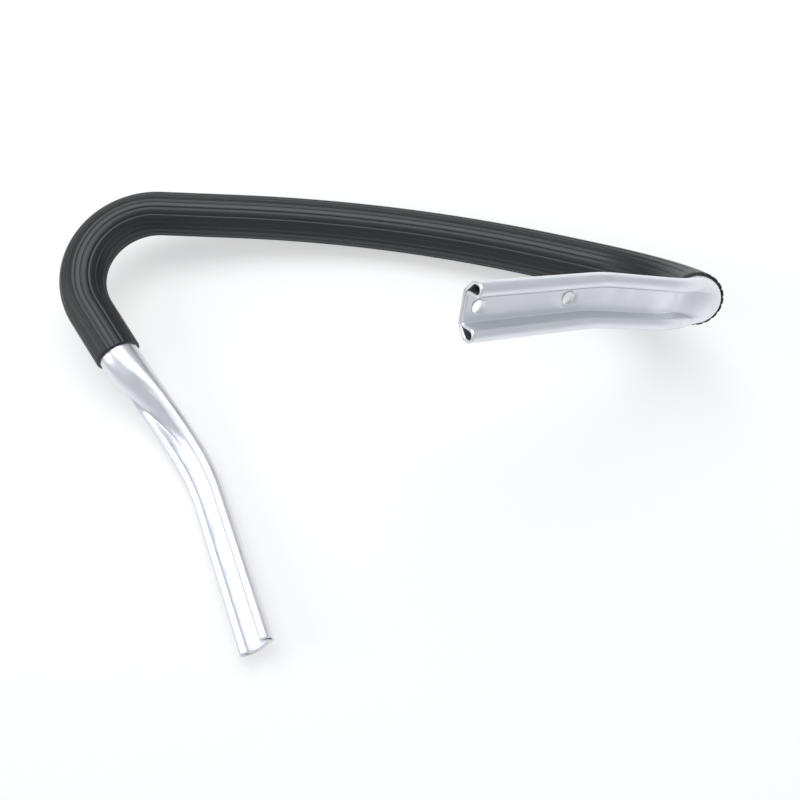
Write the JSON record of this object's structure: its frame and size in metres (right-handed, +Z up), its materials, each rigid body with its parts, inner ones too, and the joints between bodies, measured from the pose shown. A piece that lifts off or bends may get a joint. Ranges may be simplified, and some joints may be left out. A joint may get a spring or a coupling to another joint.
{
  "type": "chainsaw front handle",
  "caption": "Bent aluminium tube handle with channel-pressed ends, screw holes in one end and a ribbed grip sleeve on its round stretch.",
  "frame": {"origin": "middle of the bottom of the box round the handle as it lies at rest", "axes": "+Z up as it lies; +X along the long grip, from the long left leg towards the short right leg; +Y from the leg ends towards the grip"},
  "size_m": [0.4042, 0.2954, 0.1848],
  "materials": {
    "tube": "satin, drawn along the tube",
    "sleeve": "soft sheen, ribbed lengthwise"
  },
  "bodies": {
    "root": {"handle_tube": "tube", "grip_sleeve": "sleeve"}
  },
  "joints": []
}
